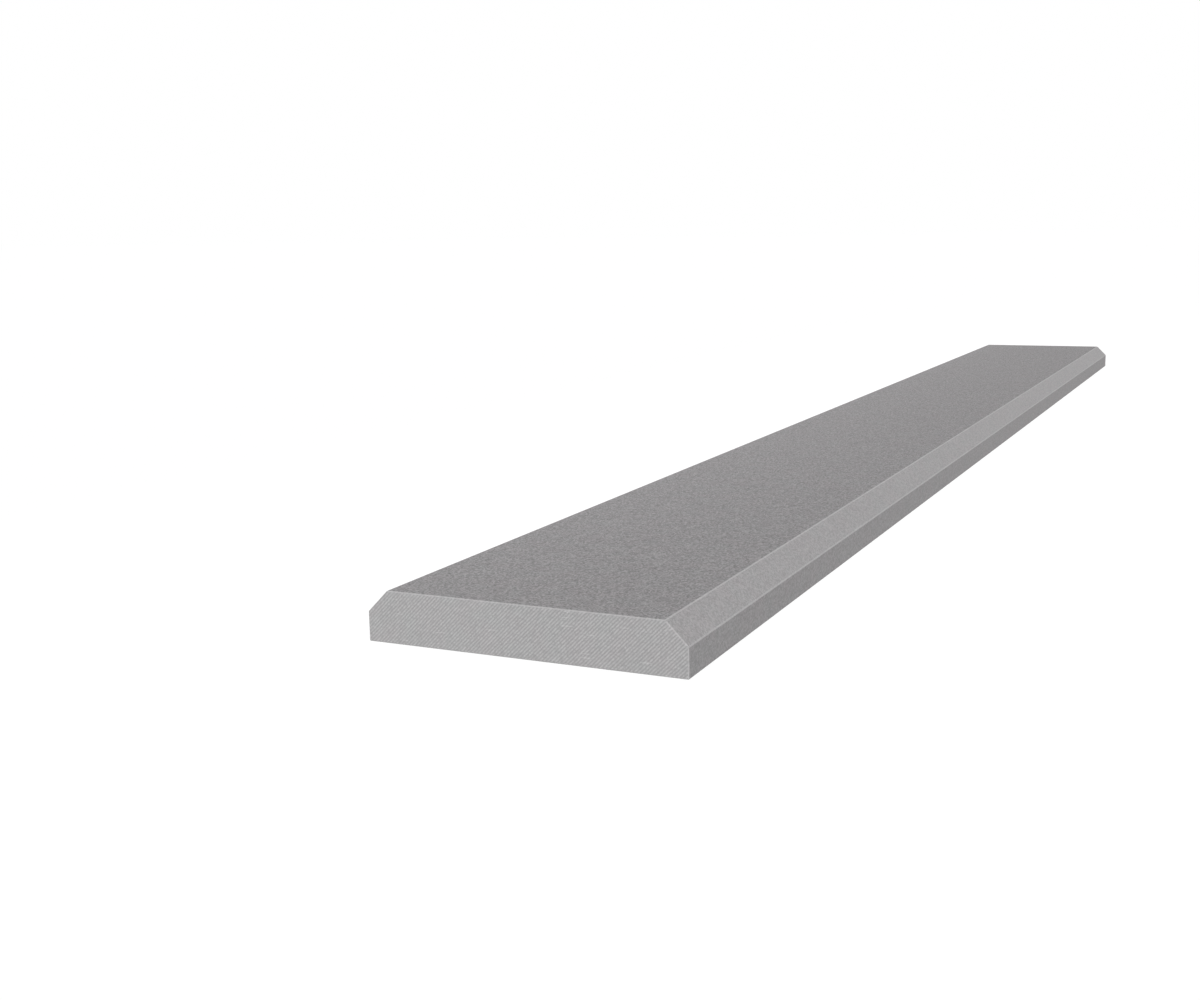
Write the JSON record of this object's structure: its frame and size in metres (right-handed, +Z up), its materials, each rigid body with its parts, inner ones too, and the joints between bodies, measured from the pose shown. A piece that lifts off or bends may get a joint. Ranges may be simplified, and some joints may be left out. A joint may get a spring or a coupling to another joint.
{
  "type": "engineered stone threshold",
  "caption": "Long flat bar of fine-grained grey engineered stone with a steep bevel along its upper long edges; bridges the joint between floors in a doorway.",
  "frame": {"origin": "middle of the underside", "axes": "+X along the bar, +Y across it, +Z up out of the top face"},
  "size_m": [0.9144, 0.1016, 0.0159],
  "materials": {
    "stone": "matte"
  },
  "bodies": {
    "root": {"threshold": "stone"}
  },
  "joints": []
}
